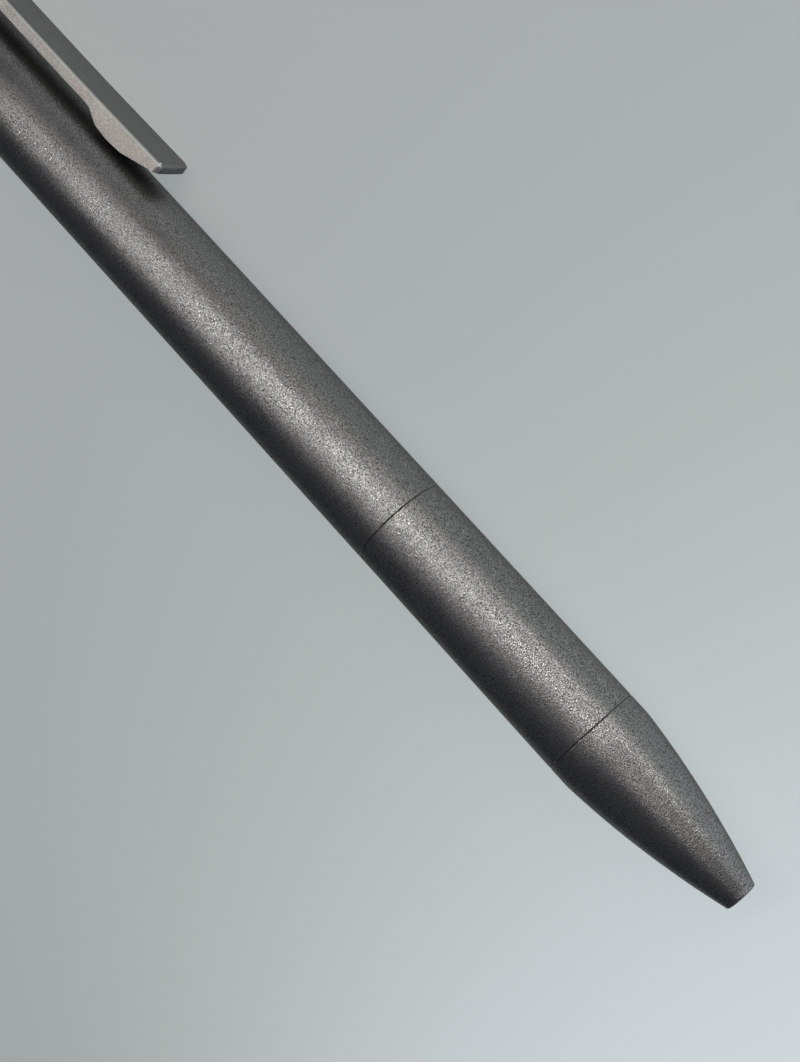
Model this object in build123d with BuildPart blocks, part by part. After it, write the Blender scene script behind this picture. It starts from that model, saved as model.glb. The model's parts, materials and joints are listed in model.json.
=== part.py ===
"""Bolt action pen, lying on a flat surface with the edge of its clip touching it.

X runs along the pen, from the flat end of its cap at zero to the writing tip. Z is up.
The X axis is the axis of the pen, so the surface that it lies on is one body radius
below. All lengths are in millimetres and all angles in degrees.
"""

import os
from math import asin, atan2, cos, degrees, hypot, pi, radians, sin, sqrt, tan

from build123d import *

os.makedirs("parts", exist_ok=True)

# Clearances and habits that several pieces share
running_clearance = 0.05
seat_clearance = 0.05
ring_clearance = 0.02
overrun = 1.0
edge_break = 0.08

# Body: three straight stretches of one diameter, then the nose. The barrel is as long as
# the refill and the bolt need, and the body as thick as the walls of its joints make it.
cap_length = 5.5
grip_length = 27.7
nose_length = 20.8
nose_land = 2.3
nose_bulge = 0.45
nose_shoulder_round = 12.0
nose_tip_wall = 0.55
nose_tip_round = 0.3
cap_edge_round = 0.7

# Threaded joints of the body, as plain spigots and sockets
spigot_wall = 1.1
socket_wall = 0.85
cap_spigot_length = 4.0
grip_spigot_length = 8.0
nose_spigot_length = 6.0
socket_relief = 0.5
ring_groove_depth = 0.75
ring_groove_width = 1.0
ring_groove_setback = 0.9

# Refill: a long gel refill with a plastic tube
refill_length = 110.5
refill_radius = 3.05
refill_wall = 0.5
refill_clearance = 0.2
retract_depth = 2.5
tail_plug_head = 1.2
tail_plug_spigot = 3.0
ink_fill_share = 0.83
follower_length = 4.0
holder_spigot_length = 5.0
holder_collar_length = 1.0
holder_body_length = 8.5
holder_neck_step = 0.45
holder_neck_length = 4.5
holder_edge = 0.3
point_radius = 1.15
point_exposed_length = 9.0
point_stem_radius = 0.85
point_stem_length = 3.5
point_cone_length = 2.4
ball_radius = 0.35
ball_proud = 0.2
ball_clearance = 0.02
ball_lip = 0.1

# Nose bore, with the room that it leaves in front of the refill's steps when the point is out
tip_hole_clearance = 0.1
tip_hole_length = 2.4
taper_front_gap = 0.4
seat_front_gap = 1.5
neck_bore_clearance = 0.15

# Return spring: its turns lie closer at both ends, by this share of their mean pitch
spring_wire_radius = 0.2
spring_clearance = 0.1
spring_bore_gap = 0.4
spring_turns = 10
spring_closing_share = 0.4
spring_end_gap = 0.05

# Bolt: knob, stud and plunger, and the slot that they move in
bolt_travel = 5.5
bolt_turn = 35.0
bolt_azimuth = 90.0
stud_radius = 1.5
slot_clearance = 0.1
detent_depth = 0.35
stud_thread_radius = 1.0
stud_foot_length = 2.2
stud_head_length = 2.6
stud_spotface_depth = 0.3
plunger_rear_gap = 1.3
plunger_tail = 5.2
plunger_front = 13.0
plunger_edge = 0.4
plunger_ring_setback = 1.6
plunger_ring_pitch = 2.8
plunger_groove_depth = 0.55
plunger_groove_width = 0.8
knob_standoff = 0.3
knob_collar_radius = 2.2
knob_collar_height = 0.7
knob_radius = 2.9
knob_height = 4.7
knob_edge = 0.55
knob_dish_radius = 1.9
knob_dish_depth = 0.35
knob_groove_depth = 0.2
knob_groove_width = 0.35
knob_groove_pitch = 0.9
knob_groove_count = 3

# Clip: a milled bar with a root block at the rear and a stepped foot at its tip
clip_length = 44.2
clip_setback = 2.0
clip_width = 5.25
clip_gap = 1.61
clip_thickness = 1.32
clip_flare = 0.21
clip_flare_length = 12.5
clip_flare_round = 500.0
clip_edge_side = 0.5
clip_edge_face = 0.3
clip_corner_radius = 0.55
clip_end_crown = 0.12
clip_tip_thickness = 1.1
foot_gap = 0.5
foot_bow = 0.18
ramp_length = 4.6
pad_length = 4.1
step_length = 1.8
step_round = 1.1
pad_round = 6.0
clip_root_length = 12.0
clip_root_depth = 0.75
clip_root_round = 1.6
clip_screw_radius = 1.0
clip_screw_pitch = 6.0
clip_screw_head_radius = 1.8
clip_screw_head_sink = 0.1
clip_screw_tip_gap = 0.1
clip_screw_head_angle = 90.0
hex_key_size = 1.3
hex_key_depth = 0.8

# Radii that follow from the sizes above, from the refill outward
bore_radius = refill_radius + refill_clearance
spigot_radius = bore_radius + spigot_wall
socket_radius = spigot_radius + seat_clearance
body_radius = socket_radius + socket_wall
body_diameter = 2 * body_radius
ring_floor_radius = spigot_radius - ring_groove_depth
plunger_radius = bore_radius - running_clearance
slot_radius = stud_radius + slot_clearance
tube_inner_radius = refill_radius - refill_wall
wire_diameter = 2 * spring_wire_radius
holder_body_radius = bore_radius - spring_bore_gap - wire_diameter - spring_clearance
holder_neck_radius = holder_body_radius - holder_neck_step
neck_bore_radius = holder_neck_radius + neck_bore_clearance
tip_hole_radius = point_radius + tip_hole_clearance
nose_tip_radius = tip_hole_radius + nose_tip_wall

# Places along the pen: the cap, the bolt and the refill, and then the nose that they reach
barrel_x = cap_length
cap_spigot_x = barrel_x + cap_spigot_length
plunger_x = cap_spigot_x + plunger_rear_gap
bolt_x = plunger_x + plunger_tail
refill_tail_x = bolt_x + plunger_front
tube_rear_x = refill_tail_x + tail_plug_head
point_tip_x = refill_tail_x + refill_length
point_x = point_tip_x - point_exposed_length
neck_x = point_x - holder_neck_length
collar_x = neck_x - holder_body_length
tube_front_x = collar_x - holder_collar_length

tip_x = point_tip_x + retract_depth
nose_x = tip_x - nose_length
shoulder_x = nose_x + nose_land
grip_x = nose_x - grip_length
taper_x = point_x + bolt_travel + taper_front_gap
spring_seat_x = neck_x + bolt_travel + seat_front_gap

# Heights of the clip above the axis of the pen, and its stations along it
clip_inner = body_radius + clip_gap
clip_outer = clip_inner + clip_thickness
clip_tip_outer = clip_outer + clip_flare
clip_seat = body_radius - clip_root_depth
foot_height = body_radius + foot_gap
clip_rear_x = barrel_x + clip_setback
clip_root_x = clip_rear_x + clip_root_length
clip_screw_x = clip_rear_x + clip_root_length / 2
clip_tip_x = clip_rear_x + clip_length
ramp_x = clip_tip_x - ramp_length
pad_x = ramp_x - pad_length
step_x = pad_x - step_length

# The clip's screws: their places along it, and the heights of the head's cone
screw_places = [clip_screw_x - clip_screw_pitch / 2, clip_screw_x + clip_screw_pitch / 2]
screw_cone_slope = tan(radians(clip_screw_head_angle / 2))
screw_top_height = clip_outer - clip_screw_head_sink
screw_cone_height = screw_top_height - (
    (clip_screw_head_radius - clip_screw_radius) / screw_cone_slope
)

# The pen rolls until the clip's lower edge reaches the surface under the barrel
edge_height = clip_tip_outer - clip_edge_face
edge_radius = hypot(edge_height, clip_width / 2)
clip_azimuth = degrees(atan2(clip_width / 2, edge_height) - asin(body_radius / edge_radius))


def radial_plane(x, azimuth, height=0):
    """The plane at this height above the axis that faces away from it at this azimuth."""
    across = Vector(0, cos(radians(azimuth)), sin(radians(azimuth)))
    return Plane(origin=Vector(x, 0, 0) + across * height, x_dir=(1, 0, 0), z_dir=across)


def side_plane(azimuth):
    """The plane through the axis whose own y runs outward at this azimuth."""
    normal = (0, -sin(radians(azimuth)), cos(radians(azimuth)))
    return Plane(origin=(0, 0, 0), x_dir=(1, 0, 0), z_dir=normal)


def turn(outline, mode=Mode.ADD):
    """Turn a closed outline of corners (x, radius) about the axis, in the open part."""
    with BuildSketch(Plane.XY) as section:
        with BuildLine():
            Polyline(*outline, close=True)
        make_face()
    revolve(section.sketch, axis=Axis.X, mode=mode)


def turn_upright(x, azimuth, outline, mode=Mode.ADD):
    """Turn an outline of corners (radius, height) about the radial line at this place."""
    with BuildSketch(side_plane(azimuth)) as section:
        with BuildLine():
            Polyline(*[(x + radius, height) for radius, height in outline], close=True)
        make_face()
    upright = Axis((x, 0, 0), radial_plane(x, azimuth).z_dir)
    revolve(section.sketch, axis=upright, mode=mode)


def cut_groove(start, width, floor_radius, outer_radius):
    """Cut a square groove round the open part."""
    corners = [
        (start, floor_radius),
        (start, outer_radius + overrun),
        (start + width, outer_radius + overrun),
        (start + width, floor_radius),
    ]
    turn(corners, mode=Mode.SUBTRACT)


def add_ring(x, floor_radius, wall_radius):
    """Add a ring of round section that fills the gap between a groove and its wall."""
    section_radius = (wall_radius - floor_radius) / 2 - ring_clearance
    with BuildSketch(Plane.XY) as section:
        with Locations((x, (wall_radius + floor_radius) / 2)):
            Circle(section_radius)
    revolve(section.sketch, axis=Axis.X)


# Barrel
barrel_socket_x = cap_spigot_x + socket_relief
grip_socket_x = grip_x - grip_spigot_length - socket_relief
with BuildPart() as barrel:
    turn(
        [
            (barrel_x, socket_radius),
            (barrel_x, body_radius - edge_break),
            (barrel_x + edge_break, body_radius),
            (grip_x - edge_break, body_radius),
            (grip_x, body_radius - edge_break),
            (grip_x, socket_radius),
            (grip_socket_x, socket_radius),
            (grip_socket_x, bore_radius),
            (barrel_socket_x, bore_radius),
            (barrel_socket_x, socket_radius),
        ]
    )
    # The straight run of the slot
    with BuildSketch(radial_plane(bolt_x + bolt_travel / 2, bolt_azimuth)):
        SlotCenterToCenter(bolt_travel, 2 * slot_radius)
    extrude(amount=body_radius + overrun, mode=Mode.SUBTRACT)
    # A side notch at each end, as wide as the stud and swept round the axis
    for notch_x in (bolt_x, bolt_x + bolt_travel):
        with BuildSketch(side_plane(bolt_azimuth)):
            with Locations((notch_x, body_radius)):
                Rectangle(2 * slot_radius, 2 * (body_radius - bore_radius) + slot_clearance)
        revolve(axis=Axis.X, revolution_arc=bolt_turn, mode=Mode.SUBTRACT)
    # Round ends of the notches, and the dip that the spring pulls the stud back into
    for end_x in (bolt_x, bolt_x + bolt_travel, bolt_x + bolt_travel - detent_depth):
        with BuildSketch(radial_plane(end_x, bolt_azimuth + bolt_turn)):
            Circle(slot_radius)
        extrude(amount=body_radius + overrun, mode=Mode.SUBTRACT)
    # The flat that the clip's root block stands on
    with BuildSketch(radial_plane(clip_screw_x, clip_azimuth, clip_seat)):
        Rectangle(clip_root_length + 2 * seat_clearance, body_diameter)
    extrude(amount=clip_root_depth + overrun, mode=Mode.SUBTRACT)
    # Threaded holes for the clip's screws
    for screw_x in screw_places:
        with BuildSketch(radial_plane(screw_x, clip_azimuth)):
            Circle(clip_screw_radius + seat_clearance)
        extrude(amount=body_radius + overrun, mode=Mode.SUBTRACT)
barrel.part.label = "barrel"
export_step(barrel.part, "parts/barrel.step")

# End cap: a flat-ended plug with a spigot
with BuildPart() as end_cap:
    with BuildSketch(Plane.XY):
        with BuildLine():
            Polyline(
                (cap_edge_round, body_radius),
                (barrel_x - edge_break, body_radius),
                (barrel_x, body_radius - edge_break),
                (barrel_x, spigot_radius),
                (cap_spigot_x - edge_break, spigot_radius),
                (cap_spigot_x, spigot_radius - edge_break),
                (cap_spigot_x, 0),
                (0, 0),
                (0, body_radius - cap_edge_round),
            )
            TangentArc(
                (0, body_radius - cap_edge_round), (cap_edge_round, body_radius), tangent=(0, 1)
            )
        make_face()
    revolve(axis=Axis.X)
    cut_groove(
        barrel_x + ring_groove_setback, ring_groove_width, ring_floor_radius, spigot_radius
    )
end_cap.part.label = "end_cap"
export_step(end_cap.part, "parts/end_cap.step")

# Grip section: a spigot at the rear and a socket at the front
grip_spigot_x = grip_x - grip_spigot_length
nose_socket_x = nose_x - nose_spigot_length - socket_relief
with BuildPart() as grip_section:
    turn(
        [
            (grip_spigot_x, bore_radius),
            (grip_spigot_x, spigot_radius - edge_break),
            (grip_spigot_x + edge_break, spigot_radius),
            (grip_x, spigot_radius),
            (grip_x, body_radius - edge_break),
            (grip_x + edge_break, body_radius),
            (nose_x - edge_break, body_radius),
            (nose_x, body_radius - edge_break),
            (nose_x, socket_radius),
            (nose_socket_x, socket_radius),
            (nose_socket_x, bore_radius),
        ]
    )
    cut_groove(
        grip_x - ring_groove_setback - ring_groove_width,
        ring_groove_width,
        ring_floor_radius,
        spigot_radius,
    )
grip_section.part.label = "grip_section"
export_step(grip_section.part, "parts/grip_section.step")

# Nose cone: a short land, a softened shoulder, then an ogive down to the rim of the tip
nose_spigot_x = nose_x - nose_spigot_length
ogive_end = (tip_x - nose_tip_round, nose_tip_radius)
rim_edge = (tip_x, nose_tip_radius - nose_tip_round)
with BuildPart() as nose_cone:
    with BuildSketch(Plane.XY) as nose_outline:
        with BuildLine():
            Polyline(
                rim_edge,
                (tip_x, tip_hole_radius),
                (tip_x - tip_hole_length, tip_hole_radius),
                (taper_x, neck_bore_radius),
                (spring_seat_x, neck_bore_radius),
                (spring_seat_x, bore_radius),
                (nose_spigot_x, bore_radius),
                (nose_spigot_x, spigot_radius - edge_break),
                (nose_spigot_x + edge_break, spigot_radius),
                (nose_x, spigot_radius),
                (nose_x, body_radius - edge_break),
                (nose_x + edge_break, body_radius),
                (shoulder_x, body_radius),
            )
            SagittaArc((shoulder_x, body_radius), ogive_end, nose_bulge)
            RadiusArc(ogive_end, rim_edge, nose_tip_round)
        make_face()
        shoulder = nose_outline.vertices().group_by(Axis.Y)[-1].sort_by(Axis.X)[-1]
        fillet(shoulder, radius=nose_shoulder_round)
    revolve(axis=Axis.X)
    cut_groove(
        nose_x - ring_groove_setback - ring_groove_width,
        ring_groove_width,
        ring_floor_radius,
        spigot_radius,
    )
nose_cone.part.label = "nose_cone"
export_step(nose_cone.part, "parts/nose_cone.step")

# Seal rings, one in the groove of each spigot
seal_places = {
    "cap_seal_ring": barrel_x + ring_groove_setback + ring_groove_width / 2,
    "grip_seal_ring": grip_x - ring_groove_setback - ring_groove_width / 2,
    "nose_seal_ring": nose_x - ring_groove_setback - ring_groove_width / 2,
}
for seal_name, seal_x in seal_places.items():
    with BuildPart() as seal_ring:
        add_ring(seal_x, ring_floor_radius, socket_radius)
    seal_ring.part.label = seal_name
    export_step(seal_ring.part, f"parts/{seal_name}.step")

# Clip: the side outline as corners (x, height, rounding), drawn out to the bar's width
clip_corners = [
    (clip_rear_x, clip_seat, 0),
    (clip_root_x, clip_seat, 0),
    (clip_root_x, clip_inner, clip_root_round),
    (step_x, clip_inner, step_round),
    (pad_x, foot_height + foot_bow, step_round),
    (pad_x + pad_length / 2, foot_height, pad_round),
    (ramp_x, foot_height + foot_bow, step_round),
    (clip_tip_x, clip_tip_outer - clip_tip_thickness, 0),
    (clip_tip_x, clip_tip_outer, 0),
    (clip_tip_x - clip_flare_length, clip_outer, clip_flare_round),
    (clip_rear_x, clip_outer, 0),
]
clip_across = Axis((0, 0, 0), radial_plane(0, clip_azimuth).z_dir)
with BuildPart() as clip:
    with BuildSketch(side_plane(clip_azimuth)):
        with BuildLine():
            FilletPolyline(
                *[(x, height) for x, height, rounding in clip_corners],
                radius=[rounding for x, height, rounding in clip_corners],
                close=True,
            )
        make_face()
    extrude(amount=clip_width / 2, both=True)
    # Seen from above it has round corners, and its tip is a little crowned
    with BuildSketch(radial_plane(0, clip_azimuth)) as plan:
        with BuildLine():
            Polyline(
                (clip_tip_x - clip_end_crown, -clip_width / 2),
                (clip_rear_x, -clip_width / 2),
                (clip_rear_x, clip_width / 2),
                (clip_tip_x - clip_end_crown, clip_width / 2),
            )
            ThreePointArc(
                (clip_tip_x - clip_end_crown, clip_width / 2),
                (clip_tip_x, 0),
                (clip_tip_x - clip_end_crown, -clip_width / 2),
            )
        make_face()
        fillet(plan.vertices(), radius=clip_corner_radius)
    extrude(amount=clip_tip_outer + overrun, mode=Mode.INTERSECT)
    # Bevel along the outer face, which carries on round the flared tip
    outer_face = clip.faces().filter_by(clip_across).sort_by(clip_across)[-1]
    chamfer(
        outer_face.edges().filter_by(Axis.X),
        length=clip_edge_side,
        length2=clip_edge_face,
        reference=outer_face,
    )
    # Countersunk holes of the two screws
    hole_radius = clip_screw_radius + seat_clearance
    hole_mouth_x = hole_radius + (clip_outer + overrun - screw_cone_height) * screw_cone_slope
    for screw_x in screw_places:
        turn_upright(
            screw_x,
            clip_azimuth,
            [
                (0, 0),
                (hole_radius, 0),
                (hole_radius, screw_cone_height),
                (hole_mouth_x, clip_outer + overrun),
                (0, clip_outer + overrun),
            ],
            mode=Mode.SUBTRACT,
        )
clip.part.label = "clip"
export_step(clip.part, "parts/clip.step")

# Clip screws, countersunk, with a hexagon socket
with BuildPart() as clip_screws:
    for screw_x in screw_places:
        turn_upright(
            screw_x,
            clip_azimuth,
            [
                (0, bore_radius + clip_screw_tip_gap),
                (clip_screw_radius, bore_radius + clip_screw_tip_gap),
                (clip_screw_radius, screw_cone_height),
                (clip_screw_head_radius, screw_top_height),
                (0, screw_top_height),
            ],
        )
        with BuildSketch(radial_plane(screw_x, clip_azimuth, screw_top_height)):
            RegularPolygon(hex_key_size / 2, 6, major_radius=False)
        extrude(amount=-hex_key_depth, mode=Mode.SUBTRACT)
clip_screws.part.label = "clip_screws"
export_step(clip_screws.part, "parts/clip_screws.step")

# Bolt plunger: slides and turns in the bore, and pushes the tail of the refill
spotface_height = plunger_radius - stud_spotface_depth
stud_foot_height = spotface_height - stud_foot_length
plunger_groove_floor = plunger_radius - plunger_groove_depth
plunger_rings_x = [
    refill_tail_x - plunger_ring_setback - count * plunger_ring_pitch for count in range(2)
]
with BuildPart() as bolt_plunger:
    turn(
        [
            (plunger_x, 0),
            (plunger_x, plunger_radius - plunger_edge),
            (plunger_x + plunger_edge, plunger_radius),
            (refill_tail_x - plunger_edge, plunger_radius),
            (refill_tail_x, plunger_radius - plunger_edge),
            (refill_tail_x, 0),
        ]
    )
    for ring_x in plunger_rings_x:
        cut_groove(
            ring_x - plunger_groove_width / 2,
            plunger_groove_width,
            plunger_groove_floor,
            plunger_radius,
        )
    turn_upright(
        bolt_x,
        bolt_azimuth,
        [
            (0, stud_foot_height - seat_clearance),
            (stud_thread_radius + seat_clearance, stud_foot_height - seat_clearance),
            (stud_thread_radius + seat_clearance, spotface_height),
            (stud_radius + seat_clearance, spotface_height),
            (stud_radius + seat_clearance, plunger_radius + overrun),
            (0, plunger_radius + overrun),
        ],
        mode=Mode.SUBTRACT,
    )
bolt_plunger.part.label = "bolt_plunger"
export_step(bolt_plunger.part, "parts/bolt_plunger.step")

# Plunger rings
with BuildPart() as plunger_rings:
    for ring_x in plunger_rings_x:
        add_ring(ring_x, plunger_groove_floor, bore_radius)
plunger_rings.part.label = "plunger_rings"
export_step(plunger_rings.part, "parts/plunger_rings.step")

# Bolt stud: threaded foot, shank that runs in the slot, threaded head
knob_base = body_radius + knob_standoff
with BuildPart() as bolt_stud:
    turn_upright(
        bolt_x,
        bolt_azimuth,
        [
            (0, stud_foot_height),
            (stud_thread_radius, stud_foot_height),
            (stud_thread_radius, spotface_height),
            (stud_radius, spotface_height),
            (stud_radius, knob_base),
            (stud_thread_radius, knob_base),
            (stud_thread_radius, knob_base + stud_head_length),
            (0, knob_base + stud_head_length),
        ],
    )
bolt_stud.part.label = "bolt_stud"
export_step(bolt_stud.part, "parts/bolt_stud.step")

# Bolt knob: a turned button on a collar, with grip grooves and a dished top
knob_top = knob_base + knob_height
knob_body_base = knob_base + knob_collar_height
with BuildPart() as bolt_knob:
    turn_upright(
        bolt_x,
        bolt_azimuth,
        [
            (0, knob_base),
            (knob_collar_radius, knob_base),
            (knob_collar_radius, knob_body_base),
            (knob_radius - knob_edge / 2, knob_body_base),
            (knob_radius, knob_body_base + knob_edge / 2),
            (knob_radius, knob_top - knob_edge),
            (knob_radius - knob_edge, knob_top),
            (0, knob_top),
        ],
    )
    # Thumb dish
    dish_sphere_radius = (knob_dish_radius**2 + knob_dish_depth**2) / (2 * knob_dish_depth)
    dish_height = knob_top - knob_dish_depth + dish_sphere_radius
    with Locations(radial_plane(bolt_x, bolt_azimuth, dish_height)):
        Sphere(dish_sphere_radius, mode=Mode.SUBTRACT)
    # Grip grooves round the side
    for count in range(knob_groove_count):
        groove_base = knob_body_base + knob_edge + count * knob_groove_pitch
        turn_upright(
            bolt_x,
            bolt_azimuth,
            [
                (knob_radius - knob_groove_depth, groove_base),
                (knob_radius + overrun, groove_base),
                (knob_radius + overrun, groove_base + knob_groove_width),
                (knob_radius - knob_groove_depth, groove_base + knob_groove_width),
            ],
            mode=Mode.SUBTRACT,
        )
    # Threaded hole for the stud's head
    with BuildSketch(radial_plane(bolt_x, bolt_azimuth, knob_base)):
        Circle(stud_thread_radius + seat_clearance)
    extrude(amount=stud_head_length + seat_clearance, mode=Mode.SUBTRACT)
bolt_knob.part.label = "bolt_knob"
export_step(bolt_knob.part, "parts/bolt_knob.step")

# Refill tube, and the plug in its tail
tube_fill_radius = tube_inner_radius - seat_clearance
with BuildPart() as refill_tube:
    turn(
        [
            (tube_rear_x, tube_inner_radius),
            (tube_rear_x, refill_radius),
            (tube_front_x, refill_radius),
            (tube_front_x, tube_inner_radius),
        ]
    )
refill_tube.part.label = "refill_tube"
export_step(refill_tube.part, "parts/refill_tube.step")

with BuildPart() as refill_tail_plug:
    turn(
        [
            (refill_tail_x, 0),
            (refill_tail_x, refill_radius),
            (tube_rear_x, refill_radius),
            (tube_rear_x, tube_fill_radius),
            (tube_rear_x + tail_plug_spigot, tube_fill_radius),
            (tube_rear_x + tail_plug_spigot, 0),
        ]
    )
refill_tail_plug.part.label = "refill_tail_plug"
export_step(refill_tail_plug.part, "parts/refill_tail_plug.step")

# Ink, with the grease follower behind it
ink_front_x = tube_front_x - holder_spigot_length
ink_room = ink_front_x - tube_rear_x - tail_plug_spigot - follower_length
ink_rear_x = ink_front_x - ink_fill_share * ink_room
fill_spans = {
    "refill_ink": (ink_rear_x, ink_front_x),
    "refill_follower": (ink_rear_x - follower_length, ink_rear_x),
}
for fill_name, (fill_start, fill_end) in fill_spans.items():
    with BuildPart() as refill_fill:
        turn(
            [
                (fill_start, 0),
                (fill_start, tube_fill_radius),
                (fill_end, tube_fill_radius),
                (fill_end, 0),
            ]
        )
    refill_fill.part.label = fill_name
    export_step(refill_fill.part, f"parts/{fill_name}.step")

# Tip holder: plugs the tube, carries the spring and holds the point
with BuildPart() as refill_tip_holder:
    turn(
        [
            (ink_front_x, 0),
            (ink_front_x, tube_fill_radius),
            (tube_front_x, tube_fill_radius),
            (tube_front_x, refill_radius),
            (collar_x, refill_radius),
            (collar_x, holder_body_radius),
            (neck_x - holder_edge, holder_body_radius),
            (neck_x, holder_body_radius - holder_edge),
            (neck_x, holder_neck_radius),
            (point_x - holder_edge, holder_neck_radius),
            (point_x, holder_neck_radius - holder_edge),
            (point_x, point_stem_radius + seat_clearance),
            (point_x - point_stem_length - seat_clearance, point_stem_radius + seat_clearance),
            (point_x - point_stem_length - seat_clearance, 0),
        ]
    )
refill_tip_holder.part.label = "refill_tip_holder"
export_step(refill_tip_holder.part, "parts/refill_tip_holder.step")

# Metal point with the ball held in its lip
ball_x = point_tip_x - ball_radius
lip_x = point_tip_x - ball_proud
lip_radius = ball_radius + ball_clearance + ball_lip
with BuildPart() as refill_point:
    turn(
        [
            (point_x - point_stem_length, 0),
            (point_x - point_stem_length, point_stem_radius),
            (point_x, point_stem_radius),
            (point_x, point_radius),
            (point_tip_x - point_cone_length, point_radius),
            (lip_x, lip_radius),
            (lip_x, 0),
        ]
    )
    with Locations((ball_x, 0, 0)):
        Sphere(ball_radius + ball_clearance, mode=Mode.SUBTRACT)
refill_point.part.label = "refill_point"
export_step(refill_point.part, "parts/refill_point.step")

with BuildPart() as tip_ball:
    with Locations((ball_x, 0, 0)):
        Sphere(ball_radius)
tip_ball.part.label = "tip_ball"
export_step(tip_ball.part, "parts/tip_ball.step")

# Return spring: one wire wound round the tip holder, between its collar and the nose
coil_radius = holder_body_radius + spring_clearance + spring_wire_radius
coil_rear_x = collar_x + spring_wire_radius + spring_end_gap
coil_front_x = spring_seat_x - spring_wire_radius - spring_end_gap
coil_pitch = (coil_front_x - coil_rear_x) / spring_turns


def coil_point(turns):
    """The middle of the wire after this many turns."""
    closing = spring_closing_share * spring_turns * sin(2 * pi * turns / spring_turns) / (2 * pi)
    x = coil_rear_x + coil_pitch * (turns - closing)
    return Vector(x, coil_radius * cos(2 * pi * turns), coil_radius * sin(2 * pi * turns))


def coil_direction(turns):
    """The way that the wire runs after this many turns."""
    local_pitch = coil_pitch * (1 - spring_closing_share * cos(2 * pi * turns / spring_turns))
    round_y = -coil_radius * sin(2 * pi * turns)
    round_z = coil_radius * cos(2 * pi * turns)
    return Vector(local_pitch / (2 * pi), round_y, round_z).normalized()


def add_biarc(start, start_way, end, end_way):
    """Join two points on the open line by two arcs that meet smoothly between them."""
    chord = end - start
    along = chord.dot(start_way + end_way)
    bend = 2 * (1 - start_way.dot(end_way))
    reach = (sqrt(along**2 + bend * chord.dot(chord)) - along) / bend
    first = start + start_way * reach
    last = end - end_way * reach
    middle = (first + last) / 2
    TangentArc(start, middle, tangent=start_way)
    TangentArc(middle, end, tangent=last - first)


# Each end of the wire runs straight on for one diameter, and each half turn is a biarc
wire_start = coil_point(0) - coil_direction(0) * wire_diameter
wire_end = coil_point(spring_turns) + coil_direction(spring_turns) * wire_diameter
with BuildLine() as coil:
    Line(wire_start, coil_point(0))
    for half_turn in range(2 * spring_turns):
        begin = half_turn / 2
        end = (half_turn + 1) / 2
        add_biarc(coil_point(begin), coil_direction(begin), coil_point(end), coil_direction(end))
    Line(coil_point(spring_turns), wire_end)
with BuildPart() as return_spring:
    with BuildSketch(Plane(origin=wire_start, z_dir=coil_direction(0))):
        Circle(spring_wire_radius)
    sweep(path=coil.line)
return_spring.part.label = "return_spring"
export_step(return_spring.part, "parts/return_spring.step")

# The least gap between one turn of the wire and the next, measured on points along it
points_per_turn = 60
wire_path = coil.wire()
wire_points = [
    wire_path @ (count / (points_per_turn * spring_turns))
    for count in range(points_per_turn * spring_turns + 1)
]
turn_gaps = [
    (other - point).length - wire_diameter
    for count, point in enumerate(wire_points)
    for other in wire_points[count + points_per_turn // 2 : count + 2 * points_per_turn]
]
print(f"least gap between turns of the return spring: {min(turn_gaps):.2f} mm")
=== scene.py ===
"""Looks of the bolt action pen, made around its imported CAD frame.

The frame's X axis is the pen's own axis, with the flat end of the cap at zero and the
writing tip at the far end. The pen lies on a floor one body radius below its axis. All
lengths here are in metres.
"""

import json
from math import cos, pi, radians, sin

import bmesh
import bpy
from mathutils import Matrix, Vector


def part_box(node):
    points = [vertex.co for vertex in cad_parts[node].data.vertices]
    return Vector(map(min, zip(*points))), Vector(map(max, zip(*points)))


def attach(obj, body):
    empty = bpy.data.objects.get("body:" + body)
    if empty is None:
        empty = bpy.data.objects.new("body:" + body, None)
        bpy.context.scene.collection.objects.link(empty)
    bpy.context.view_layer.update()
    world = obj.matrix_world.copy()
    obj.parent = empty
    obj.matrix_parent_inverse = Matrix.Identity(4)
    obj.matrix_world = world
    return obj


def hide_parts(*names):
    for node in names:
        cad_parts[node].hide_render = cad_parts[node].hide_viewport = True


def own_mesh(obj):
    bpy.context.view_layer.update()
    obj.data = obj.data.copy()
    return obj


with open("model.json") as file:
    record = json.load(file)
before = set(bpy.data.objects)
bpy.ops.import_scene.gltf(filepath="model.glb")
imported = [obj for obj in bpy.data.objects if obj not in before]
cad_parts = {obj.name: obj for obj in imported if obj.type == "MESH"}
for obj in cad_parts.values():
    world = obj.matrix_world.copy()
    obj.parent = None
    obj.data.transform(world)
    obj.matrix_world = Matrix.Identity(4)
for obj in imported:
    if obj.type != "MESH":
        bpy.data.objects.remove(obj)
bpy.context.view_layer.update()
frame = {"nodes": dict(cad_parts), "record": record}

MM = 0.001

# Main places and radii, read from the frame
barrel_low, barrel_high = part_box("barrel")
grip_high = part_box("grip_section")[1]
knob_low, knob_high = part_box("bolt_knob")
spring_low, spring_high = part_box("return_spring")
body_radius = barrel_high.z
seam_x = barrel_high.x
nose_seam_x = grip_high.x
cap_seam_x = barrel_low.x
bolt_x = (knob_low.x + knob_high.x) / 2

# The camera's place about the pen, and its axes along the pen (u), across it (p) and away
# from it (v), worked out from the joint lines, the outline and the clip in the photograph
clip_azimuth = radians(-20.14)
camera_beside_clip = radians(64.0)
camera_azimuth = clip_azimuth + camera_beside_clip
camera_beyond_seam = 31.55 * MM
camera_distance = 170.6 * MM
camera_right = (0.66191, 0.73951, -0.12248)
camera_down = (0.72810, -0.67314, -0.12946)
camera_lens = 59.44
camera_clip_start = 10 * MM


def about(azimuth, distance=1.0, x=0.0):
    """The point at this distance from the pen's axis, at this azimuth and station."""
    return Vector((x, distance * cos(azimuth), distance * sin(azimuth)))


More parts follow.
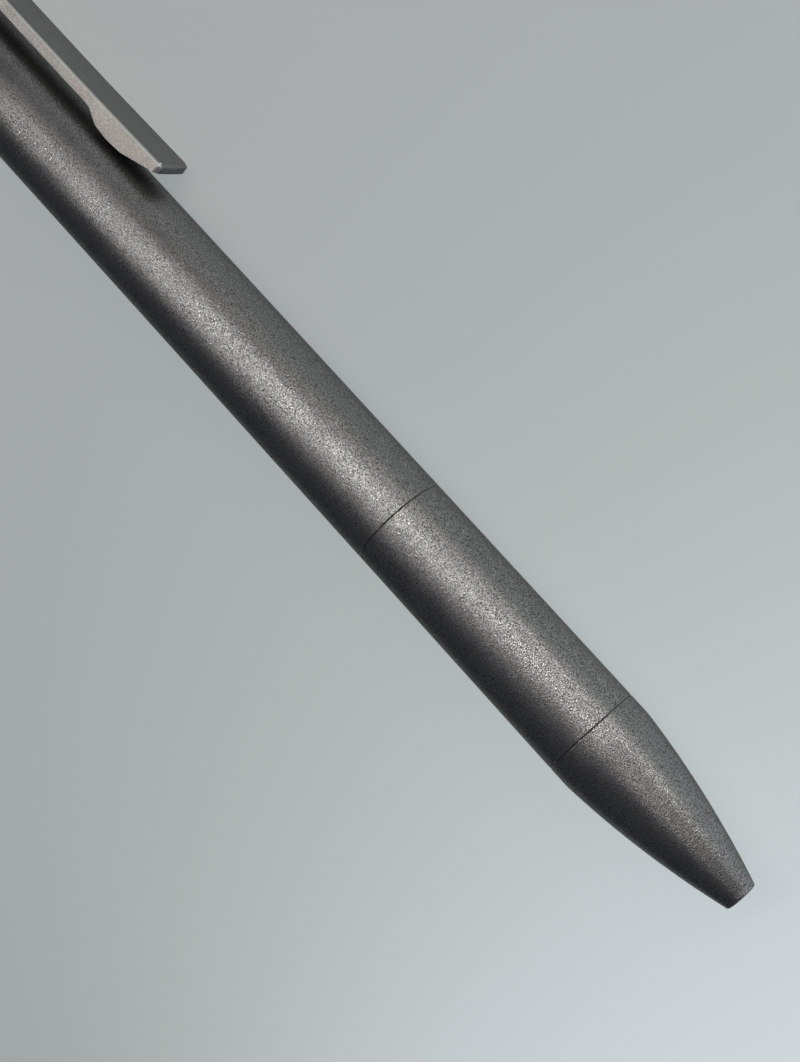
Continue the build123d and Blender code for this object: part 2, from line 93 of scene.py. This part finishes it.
def from_pen_axes(u, p, v):
    """A direction given along the pen, across it and away from it towards the camera."""
    across = about(camera_azimuth - pi / 2)
    return Vector((u, 0, 0)) + across * p + about(camera_azimuth) * v


# Node helpers

noise_range = (0.3, 0.7)


def add_node(tree, kind, inputs=None, **settings):
    """Add a shader node, set its settings, and set or link its inputs."""
    made = tree.nodes.new("ShaderNode" + kind)
    for name, value in settings.items():
        setattr(made, name, value)
    for name, value in (inputs or {}).items():
        if isinstance(value, bpy.types.NodeSocket):
            tree.links.new(value, made.inputs[name])
        else:
            made.inputs[name].default_value = value
    return made


def calculate(tree, operation, first, second=0.0, third=0.0):
    """One step of arithmetic on numbers or sockets."""
    inputs = {0: first, 1: second, 2: third}
    return add_node(tree, "Math", inputs, operation=operation).outputs["Value"]


def remap(tree, value, low, high, to_low=0.0, to_high=1.0):
    """A value's stretch from low to high, clamped and mapped to another stretch."""
    limits = {"From Min": low, "From Max": high, "To Min": to_low, "To Max": to_high}
    return add_node(tree, "MapRange", {"Value": value, **limits}).outputs["Result"]


def mix_colours(tree, factor, first, second):
    """Two colours, or colour sockets, mixed by this factor."""
    mix = add_node(tree, "Mix", data_type="RGBA")
    for name, value in (("Factor", factor), ("A", first), ("B", second)):
        kind = "VALUE" if name == "Factor" else "RGBA"
        socket = next(s for s in mix.inputs if s.name == name and s.type == kind)
        if isinstance(value, bpy.types.NodeSocket):
            tree.links.new(value, socket)
        else:
            socket.default_value = value
    return next(s for s in mix.outputs if s.type == "RGBA")


def object_place(tree):
    """The place of the shaded point, fixed to the piece."""
    return add_node(tree, "TexCoord").outputs["Object"]


def noise(tree, size, detail, where=None, shift=0.0):
    """Noise with features of this size in metres, at a place or else all over the piece."""
    moved = add_node(
        tree, "VectorMath", {0: where or object_place(tree), 1: (shift, shift, shift)}
    ).outputs["Vector"]
    settings = {"Scale": 1 / size, "Detail": detail}
    return add_node(tree, "TexNoise", {"Vector": moved, **settings}).outputs["Fac"]


def round_axis(tree, middle, axis):
    """Distances along and from an axis through this middle, for marks that run round it."""
    away = add_node(
        tree, "VectorMath", {0: object_place(tree), 1: middle}, operation="SUBTRACT"
    ).outputs["Vector"]
    along = add_node(tree, "VectorMath", {0: away, 1: axis}, operation="DOT_PRODUCT").outputs["Value"]
    beside = add_node(tree, "VectorMath", {0: away, 1: axis}, operation="CROSS_PRODUCT").outputs["Vector"]
    radius = add_node(tree, "VectorMath", {0: beside}, operation="LENGTH").outputs["Value"]
    return add_node(tree, "CombineXYZ", {"X": along, "Y": radius}).outputs["Vector"]


def near_station(tree, station, reach):
    """One at this station along the pen, falling to zero at this reach from it."""
    x = add_node(tree, "SeparateXYZ", {0: object_place(tree)}).outputs["X"]
    away = calculate(tree, "ABSOLUTE", calculate(tree, "SUBTRACT", x, station))
    return remap(tree, away, reach, 0.0)


def in_shaded_groove(tree, station):
    """One on the walls of the joint line at this station, where painted shade goes, and zero on the
    outside.
    """
    beside = add_node(
        tree, "VectorMath", {0: object_place(tree), 1: (0, 1, 1)}, operation="MULTIPLY"
    ).outputs["Vector"]
    radius = add_node(tree, "VectorMath", {0: beside}, operation="LENGTH").outputs["Value"]
    below = remap(tree, radius, body_radius - groove_depths[0], body_radius - groove_depths[1], 1.0, 0.0)
    near = remap(tree, near_station(tree, station, groove_reach), *groove_range)
    return calculate(tree, "MULTIPLY", below, near)


# Surfaces: each has its own noise for colour, roughness and relief

def new_surface(name, metallic=0.0):
    """A new material with only a Principled shader, and that shader."""
    material = bpy.data.materials.new(name)
    material.use_nodes = True
    tree = material.node_tree
    tree.nodes.clear()
    output = add_node(tree, "OutputMaterial")
    shader = add_node(tree, "BsdfPrincipled", {"Metallic": metallic})
    tree.links.new(shader.outputs["BSDF"], output.inputs["Surface"])
    return material, tree, shader


def toned(tree, value, tone, spread):
    """The tone, made darker and lighter by this share as a noise goes from low to high."""
    dark = (*[part * (1 - spread) for part in tone], 1)
    light = (*[part * (1 + spread) for part in tone], 1)
    return mix_colours(tree, remap(tree, value, *noise_range), dark, light)


def connect(tree, shader, colour, roughness, height, depth):
    """Link a surface's colour, roughness and relief to its shader."""
    tree.links.new(colour, shader.inputs["Base Color"])
    tree.links.new(roughness, shader.inputs["Roughness"])
    bump = add_node(tree, "Bump", {"Height": height, "Distance": depth, "Strength": 1.0})
    tree.links.new(bump.outputs["Normal"], shader.inputs["Normal"])


# Blasted titanium
edge_tint = 0.45
pit_size = 0.155 * MM
pit_detail = 1.5
pit_depth = 0.027 * MM
fleck_size = 0.12 * MM
fleck_detail = 1.0
fleck_shift = 7.0 * MM
cloud_size = 4.0 * MM
cloud_detail = 3.0
fleck_spread = 0.7
fleck_roughness = (0.11, -0.11)
blasted_roughness = (0.36, 0.42)
nick_range = (0.72, 0.8)
nick_colour = (0.6, 0.59, 0.57, 1)
worn_reach = 0.25 * MM
worn_range = (0.25, 0.45)
worn_colour = (0.45, 0.44, 0.43, 1)
# Painted shade: the walls of the joint lines are made near black
groove_reach = 0.3 * MM
groove_range = (0.2, 0.5)
groove_depths = (0.12 * MM, 0.05 * MM)
groove_shade_colour = (0.03, 0.03, 0.032, 1)


def blasted_titanium(name, tone, shift, worn_edges=(), shaded_grooves=()):
    """Bead-blasted titanium: small pits and nicks over a slightly uneven grey, with painted shade on the
    walls of its joint lines.
    """
    material, tree, shader = new_surface(name, metallic=1.0)
    shader.inputs["Specular Tint"].default_value = (edge_tint, edge_tint, edge_tint, 1)
    pits = noise(tree, pit_size, pit_detail, shift=shift)
    flecks = noise(tree, fleck_size, fleck_detail, shift=shift + fleck_shift)
    clouds = noise(tree, cloud_size, cloud_detail, shift=shift)
    colour = toned(tree, flecks, tone, fleck_spread)
    colour = mix_colours(tree, remap(tree, flecks, *nick_range), colour, nick_colour)
    for station in worn_edges:
        ragged = calculate(tree, "MULTIPLY", near_station(tree, station, worn_reach), pits)
        colour = mix_colours(tree, remap(tree, ragged, *worn_range), colour, worn_colour)
    # Painted shade in each joint line
    for station in shaded_grooves:
        colour = mix_colours(tree, in_shaded_groove(tree, station), colour, groove_shade_colour)
    roughness = remap(tree, clouds, *noise_range, *blasted_roughness)
    uneven = remap(tree, flecks, *noise_range, *fleck_roughness)
    roughness = calculate(tree, "ADD", roughness, uneven)
    connect(tree, shader, colour, roughness, pits, pit_depth)
    return material


# Clip: grainy sides painted paler as painted light, a smoother dark face, a painted shade on the end, and
# a painted highlight along the edges of the sides
clip_tones = {
    "face": (0.32, 0.315, 0.31),
    # The sides' paler tone is painted light
    "side": (0.58, 0.54, 0.51),
    # The end's dark tone is painted shade
    "end": (0.2, 0.21, 0.22),
    # The edges' pale tone is a painted highlight
    "edge": (0.95, 0.93, 0.9),
}
clip_side_range = (0.8, 0.97)
clip_shaded_end_range = (0.7, 0.95)
clip_edge_highlight_rise = (0.25, 0.45)
clip_edge_highlight_fall = (0.95, 0.995)
clip_grain = 0.25
clip_side_grain = 0.5


def clip_titanium(name):
    """Milled titanium whose sides are blasted and whose face is rubbed smooth, with painted light: paler
    sides, a painted highlight on the rounded edges of the sides, and a painted shade on the end.
    """
    material, tree, shader = new_surface(name, metallic=1.0)
    shader.inputs["Specular Tint"].default_value = (edge_tint, edge_tint, edge_tint, 1)
    pits = noise(tree, pit_size, pit_detail)
    flecks = noise(tree, fleck_size, fleck_detail, shift=fleck_shift)
    facing = add_node(tree, "TexCoord").outputs["Normal"]
    across = about(clip_azimuth + pi / 2)
    side = add_node(tree, "VectorMath", {0: facing, 1: across}, operation="DOT_PRODUCT")
    sideways = calculate(tree, "ABSOLUTE", side.outputs["Value"])
    side = remap(tree, sideways, *clip_side_range)
    # Painted highlight along the rounded edges of the sides
    edge = remap(tree, sideways, *clip_edge_highlight_rise)
    edge = calculate(tree, "MULTIPLY", edge, remap(tree, sideways, *clip_edge_highlight_fall, 1.0, 0.0))
    # Painted shade on the end of the clip
    end = add_node(tree, "SeparateXYZ", {"Vector": facing}).outputs["X"]
    end = remap(tree, end, *clip_shaded_end_range)
    face_colour = toned(tree, flecks, clip_tones["face"], fleck_spread * clip_grain)
    # Painted light: the sides get a paler tone than the face
    lit_side_colour = toned(tree, flecks, clip_tones["side"], fleck_spread * clip_side_grain)
    shaded_end_colour = toned(tree, flecks, clip_tones["end"], fleck_spread * clip_grain)
    colour = mix_colours(tree, side, face_colour, lit_side_colour)
    colour = mix_colours(tree, end, colour, shaded_end_colour)
    colour = mix_colours(tree, edge, colour, (*clip_tones["edge"], 1))
    soft_pits = calculate(tree, "MULTIPLY", pits, remap(tree, side, 0.0, 1.0, clip_grain, clip_side_grain))
    clouds = noise(tree, cloud_size, cloud_detail)
    roughness = remap(tree, clouds, *noise_range, *blasted_roughness)
    connect(tree, shader, colour, roughness, soft_pits, pit_depth)
    return material


# Turned metals, with fine rings about their own axis, and the drawn and blackened ones
ring_size = 0.06 * MM
ring_detail = 3.0
ring_depth = 0.004 * MM
ring_spread = 0.1
sheen_detail = 2.0
sheen_spread = 0.15


def uneven_gloss(tree, value, roughness):
    """The roughness, made lower and higher by a share as a noise goes from low to high."""
    return remap(
        tree, value, *noise_range, roughness * (1 - sheen_spread), roughness * (1 + sheen_spread)
    )


def turned_metal(name, tone, roughness, middle=(0, 0, 0), axis=(1, 0, 0)):
    """Metal with fine tool marks that run round an axis."""
    material, tree, shader = new_surface(name, metallic=1.0)
    rings = noise(tree, ring_size, ring_detail, where=round_axis(tree, middle, axis))
    clouds = noise(tree, cloud_size, sheen_detail)
    colour = toned(tree, rings, tone, ring_spread)
    connect(tree, shader, colour, uneven_gloss(tree, clouds, roughness), rings, ring_depth)
    return material


speck_size = 0.3 * MM
speck_detail = 4.0


def fine_surface(name, tone, roughness, spread, depth, size=speck_size, metallic=0.0, clearness=0.0):
    """A surface with an even fine grain in its colour, roughness and relief."""
    material, tree, shader = new_surface(name, metallic=metallic)
    shader.inputs["Transmission Weight"].default_value = clearness
    grain = noise(tree, size, speck_detail)
    colour = toned(tree, grain, tone, spread)
    connect(tree, shader, colour, uneven_gloss(tree, grain, roughness), grain, depth)
    return material


titanium = (0.27, 0.266, 0.26)
joint_lines = (cap_seam_x, seam_x, nose_seam_x)
cap_end_x = 0.0
blasted_shells = {
    "titanium_barrel": {"shift": 0.0},
    "titanium_cap": {"shift": 11 * MM, "worn_edges": (cap_end_x,)},
    "titanium_grip": {"shift": 23 * MM},
    "titanium_nose": {"shift": 37 * MM, "worn_edges": (nose_seam_x,)},
}
round_bolt = {"middle": (bolt_x, 0, 0), "axis": (0, 0, 1)}
turned_metals = {
    "titanium_knob": {"tone": (0.38, 0.375, 0.37), "roughness": 0.38, **round_bolt},
    "titanium_plunger": {"tone": (0.55, 0.54, 0.53), "roughness": 0.28},
    "stud_steel": {"tone": (0.6, 0.6, 0.6), "roughness": 0.2, **round_bolt},
    "point_metal": {"tone": (0.66, 0.64, 0.58), "roughness": 0.22},
}
clear_grain = {"spread": 0.06, "depth": 0.004 * MM, "size": 1.5 * MM}
fine_surfaces = {
    "screw_steel": {
        "tone": (0.16, 0.16, 0.17), "roughness": 0.42, "spread": 0.35, "depth": 0.01 * MM, "metallic": 1.0
    },
    "spring_steel": {
        "tone": (0.62, 0.62, 0.62), "roughness": 0.25, "spread": 0.12, "depth": 0.003 * MM, "metallic": 1.0
    },
    "ball_carbide": {
        "tone": (0.45, 0.45, 0.46), "roughness": 0.12, "spread": 0.1, "depth": 0.001 * MM,
        "size": 0.03 * MM, "metallic": 1.0
    },
    "seal_rubber": {
        "tone": (0.03, 0.03, 0.03), "roughness": 0.65, "spread": 0.25, "depth": 0.01 * MM
    },
    "plug_plastic": {
        "tone": (0.86, 0.86, 0.84), "roughness": 0.35, "spread": 0.04, "depth": 0.004 * MM
    },
    "holder_plastic": {
        "tone": (0.7, 0.72, 0.74), "roughness": 0.3, "spread": 0.05, "depth": 0.004 * MM
    },
    "ink": {
        "tone": (0.01, 0.01, 0.02), "roughness": 0.12, "spread": 0.3, "depth": 0.002 * MM, "size": 2 * MM
    },
    "refill_plastic": {"tone": (0.8, 0.82, 0.84), "roughness": 0.25, "clearness": 0.8, **clear_grain},
    "grease": {"tone": (0.75, 0.72, 0.55), "roughness": 0.3, "clearness": 0.5, **clear_grain},
}
surfaces = {"titanium_clip": clip_titanium("titanium_clip")}
for slot, look in blasted_shells.items():
    surfaces[slot] = blasted_titanium(slot, titanium, shaded_grooves=joint_lines, **look)
for slot, look in turned_metals.items():
    surfaces[slot] = turned_metal(slot, **look)
for slot, look in fine_surfaces.items():
    surfaces[slot] = fine_surface(slot, **look)

slot_of = {row["node"]: row["material_slot"] for row in frame["record"]["subparts"]}
body_of = {
    node: body for body, nodes in frame["record"]["behaviour"]["bodies"].items() for node in nodes
}
for name, node in frame["nodes"].items():
    node.data.materials.clear()
    node.data.materials.append(surfaces[slot_of[name]])


# Metal pieces with their edges rounded, each in place of its CAD node
weld_distance = 0.001 * MM
flat_angle = radians(0.1)
edge_angle = radians(38)
edge_steps = 2
edge_roundness = 0.5
tube_tolerance = 0.002 * MM
facing_share = 0.98
flat_share = 0.9999
edge_widths = {
    "barrel": 0.04 * MM,
    "end_cap": 0.06 * MM,
    "grip_section": 0.03 * MM,
    "nose_cone": 0.05 * MM,
    "clip": 0.17 * MM,
    "bolt_knob": 0.08 * MM,
    "bolt_stud": 0.05 * MM,
    "bolt_plunger": 0.08 * MM,
    "clip_screws": 0.05 * MM,
}


def finished_mesh(name, edge_width):
    """A welded copy of a CAD node's mesh, with its sharp edges rounded to this width."""
    shape = bmesh.new()
    shape.from_mesh(frame["nodes"][name].data)
    bmesh.ops.remove_doubles(shape, verts=shape.verts, dist=weld_distance)
    bmesh.ops.dissolve_limit(
        shape, angle_limit=flat_angle, verts=shape.verts, edges=shape.edges, use_dissolve_boundaries=False
    )
    sharp = [
        edge for edge in shape.edges if edge.is_manifold and edge.calc_face_angle() > edge_angle
    ]
    bmesh.ops.bevel(
        shape,
        geom=sharp,
        offset=edge_width,
        offset_type="OFFSET",
        segments=edge_steps,
        profile=edge_roundness,
        affect="EDGES",
        clamp_overlap=True,
    )
    mesh = bpy.data.meshes.new(name + "_finished")
    shape.to_mesh(mesh)
    shape.free()
    if "custom_normal" in mesh.attributes:
        mesh.attributes.remove(mesh.attributes["custom_normal"])
    mesh.shade_smooth()
    mesh.set_sharp_from_angle(angle=edge_angle)
    return mesh


def set_round_normals(mesh):
    """Make a tube's outside shade as a true cylinder, and its flat ends as flat."""
    normals = [corner.vector.copy() for corner in mesh.corner_normals]
    for face in mesh.polygons:
        for corner in face.loop_indices:
            point = mesh.vertices[mesh.loops[corner].vertex_index].co
            outward = Vector((0, point.y, point.z))
            on_tube = abs(outward.length - body_radius) < tube_tolerance
            outward.normalize()
            if on_tube and face.normal.dot(outward) > facing_share:
                normals[corner] = outward
            elif abs(face.normal.x) > flat_share:
                normals[corner] = face.normal.copy()
    mesh.normals_split_custom_set(normals)


for name, edge_width in edge_widths.items():
    piece = bpy.data.objects.new(name + "_finished", finished_mesh(name, edge_width))
    bpy.context.scene.collection.objects.link(piece)
    piece.data.materials.clear()
    piece.data.materials.append(surfaces[slot_of[name]])
    if name == "barrel":
        set_round_normals(piece.data)
    else:
        weighted = piece.modifiers.new("weighted_normals", "WEIGHTED_NORMAL")
        weighted.keep_sharp = True
    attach(piece, body_of[name])
    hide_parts(name)


# Return spring: one wire wound round the tip holder, which the bolt presses together
wire_radius = 0.2 * MM
wire_sides = 12
turn_steps = 40
spring_turns = 10
closing_share = 0.4
coil_end_gap = 0.02 * MM
coil_radius = spring_high.z - wire_radius
coil_rear_x = spring_low.x + wire_radius + coil_end_gap
coil_front_x = spring_high.x - wire_radius - coil_end_gap


def coil_point(turns):
    """The middle of the wire after this many turns, closer wound towards both ends."""
    share = turns / spring_turns
    share -= closing_share * sin(2 * pi * share) / (2 * pi)
    x = coil_rear_x + (coil_front_x - coil_rear_x) * share
    return about(2 * pi * turns, coil_radius, x)


def wire_ring(shape, turns):
    """A ring of points round the wire after this many turns."""
    small = 0.5 / turn_steps
    way = (coil_point(turns + small) - coil_point(turns - small)).normalized()
    outward = about(2 * pi * turns)
    beside = way.cross(outward).normalized()
    outward = beside.cross(way)
    middle = coil_point(turns)
    angles = [2 * pi * side / wire_sides for side in range(wire_sides)]
    return [
        shape.verts.new(middle + (outward * cos(angle) + beside * sin(angle)) * wire_radius)
        for angle in angles
    ]


shape = bmesh.new()
rings = [wire_ring(shape, step / turn_steps) for step in range(spring_turns * turn_steps + 1)]
for ring, following in zip(rings, rings[1:]):
    for side in range(wire_sides):
        after = (side + 1) % wire_sides
        shape.faces.new([ring[side], ring[after], following[after], following[side]])
shape.faces.new(rings[0][::-1])
shape.faces.new(rings[-1])
bmesh.ops.recalc_face_normals(shape, faces=shape.faces)
spring_mesh = bpy.data.meshes.new("return_spring_wire")
shape.to_mesh(spring_mesh)
shape.free()
spring_mesh.shade_smooth()
spring_mesh.set_sharp_from_angle(angle=edge_angle)
spring_mesh.materials.append(surfaces["spring_steel"])
spring = bpy.data.objects.new("return_spring_wire", spring_mesh)
bpy.context.scene.collection.objects.link(spring)
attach(spring, body_of["return_spring"])
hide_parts("return_spring")
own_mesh(spring)


# Camera

camera_data = bpy.data.cameras.new("camera")
camera_data.lens = camera_lens
camera_data.clip_start = camera_clip_start
camera = bpy.data.objects.new("camera", camera_data)
bpy.context.scene.collection.objects.link(camera)
right = from_pen_axes(*camera_right)
up = -from_pen_axes(*camera_down)
back = right.cross(up)
place = about(camera_azimuth, camera_distance, seam_x + camera_beyond_seam)
camera.matrix_world = Matrix(
    [(right[i], up[i], back[i], place[i]) for i in range(3)] + [(0, 0, 0, 1)]
)
bpy.context.scene.camera = camera


# Lights: one long, narrow soft strip that runs askew over the pen, a low one beside it, a
# wide weak one above it, and a dim room

lamp_distance = 600 * MM
strip_middle = from_pen_axes(-0.063, 0.345, 0.936)
strip_along = from_pen_axes(0.446, 0.860, -0.246)
strip_ends = (-2200 * MM, 25 * MM)
strip_width = 24 * MM
strip_radiance = 25.0
low_middle = from_pen_axes(0.05, 0.68, 0.73)
low_ends = (-120 * MM, 260 * MM)
low_width = 200 * MM
low_radiance = 3.6
wide_middle = from_pen_axes(0.3, 0.0, 0.95)
wide_ends = (-110 * MM, 150 * MM)
wide_width = 400 * MM
wide_radiance = 0.85
along_pen = Vector((1, 0, 0))
lamp_colour = (1.015, 1.0, 0.955)
room_colour = (0.9, 0.96, 1.2, 1)
room_radiance = 0.07
backdrop_colour = (0.295, 0.321, 0.321, 1)


def soft_lamp(name, middle, lamp_along, ends, width, radiance):
    """A flat lamp that faces the grip, at the lamps' distance, with its ends along a line."""
    data = bpy.data.lights.new(name, "AREA")
    data.shape = "RECTANGLE"
    data.size = ends[1] - ends[0]
    data.size_y = width
    data.energy = radiance * pi * data.size * data.size_y
    data.color = lamp_colour
    lamp = bpy.data.objects.new(name, data)
    bpy.context.scene.collection.objects.link(lamp)
    lamp.visible_camera = False
    away = middle.normalized()
    along = (lamp_along - away * lamp_along.dot(away)).normalized()
    side = away.cross(along)
    spot = Vector((seam_x, 0, 0)) + away * lamp_distance + along * sum(ends) / 2
    lamp.matrix_world = Matrix(
        [(along[i], side[i], away[i], spot[i]) for i in range(3)] + [(0, 0, 0, 1)]
    )


soft_lamp("strip", strip_middle, strip_along, strip_ends, strip_width, strip_radiance)
soft_lamp("low", low_middle, along_pen, low_ends, low_width, low_radiance)
soft_lamp("wide", wide_middle, along_pen, wide_ends, wide_width, wide_radiance)

world = bpy.data.worlds.new("studio")
world.use_nodes = True
tree = world.node_tree
tree.nodes.clear()
room = add_node(tree, "Background", {"Color": room_colour, "Strength": room_radiance})
backdrop = add_node(tree, "Background", {"Color": backdrop_colour, "Strength": 1.0})
path = add_node(tree, "LightPath")
either = add_node(tree, "MixShader", {"Fac": path.outputs["Is Camera Ray"]})
tree.links.new(room.outputs["Background"], either.inputs[1])
tree.links.new(backdrop.outputs["Background"], either.inputs[2])
output = add_node(tree, "OutputWorld", {"Surface": either.outputs["Shader"]})
bpy.context.scene.world = world


# Floor: a pale surface whose emission is a painted glow that brightens softly round the tip and just
# beyond it, as seen by the camera and in the metal, under the thin shadow that the lamps cast

floor_reach = 3.0
floor_grey = (0.369, 0.393, 0.3895)
floor_glow_colour = (0.375, 0.411, 0.447)
floor_lit_albedo = 0.25
floor_lit_share = 0.09

# How the painted brighter part starts at the grip, spreads and fades out, in steps of rise_scale
rise_scale = 100 * MM
rise_start = -1.64
rise_along = 3.82
rise_across = -0.59
rise_spread = -0.99
rise_reach = 3.0
rise_fall = 4.0

floor_mesh = bpy.data.meshes.new("floor")
floor_z = -body_radius
corners = [(-1, -1), (1, -1), (1, 1), (-1, 1)]
floor_mesh.from_pydata(
    [(seam_x + x * floor_reach, y * floor_reach, floor_z) for x, y in corners], [], [(0, 1, 2, 3)]
)
floor = bpy.data.objects.new("floor", floor_mesh)
bpy.context.scene.collection.objects.link(floor)
floor_material = bpy.data.materials.new("floor")
floor_material.use_nodes = True
tree = floor_material.node_tree
tree.nodes.clear()
from_seam = add_node(tree, "VectorMath", {0: object_place(tree), 1: (-seam_x, 0, 0)}).outputs["Vector"]
steps = add_node(
    tree, "VectorMath", {0: from_seam, "Scale": 1 / rise_scale}, operation="SCALE"
).outputs["Vector"]
step = add_node(tree, "SeparateXYZ", {"Vector": steps}).outputs
bend = calculate(tree, "MULTIPLY_ADD", step["Y"], rise_spread, rise_across)
across = calculate(tree, "MULTIPLY_ADD", step["Y"], bend, rise_start)
level = calculate(tree, "MULTIPLY_ADD", step["X"], rise_along, across)
fading = calculate(tree, "EXPONENT", calculate(tree, "MULTIPLY", level, -1.0))
rise = calculate(tree, "DIVIDE", 1.0, calculate(tree, "ADD", fading, 1.0))
reach = add_node(tree, "VectorMath", {0: steps}, operation="LENGTH").outputs["Value"]
reach = calculate(tree, "POWER", calculate(tree, "DIVIDE", reach, rise_reach), rise_fall)
nearness = calculate(tree, "EXPONENT", calculate(tree, "MULTIPLY", reach, -1.0))
rise = calculate(tree, "MULTIPLY", rise, nearness)
unlit_grey = tuple(part - floor_lit_share for part in floor_grey)
colour = add_node(
    tree, "VectorMath", {0: floor_glow_colour, 1: rise, 2: unlit_grey}, operation="MULTIPLY_ADD"
).outputs["Vector"]
path = add_node(tree, "LightPath").outputs
seen = calculate(tree, "MAXIMUM", path["Is Camera Ray"], path["Is Glossy Ray"])
seen = calculate(tree, "MAXIMUM", seen, path["Is Transmission Ray"])
emission = add_node(tree, "Emission", {"Color": colour, "Strength": seen})
diffuse = add_node(tree, "BsdfDiffuse", {"Color": (floor_lit_albedo,) * 3 + (1,)})
both = add_node(tree, "AddShader")
tree.links.new(emission.outputs["Emission"], both.inputs[0])
tree.links.new(diffuse.outputs["BSDF"], both.inputs[1])
output = add_node(tree, "OutputMaterial")
tree.links.new(both.outputs["Shader"], output.inputs["Surface"])
floor_mesh.materials.append(floor_material)

bpy.context.scene.view_settings.view_transform = "Standard"
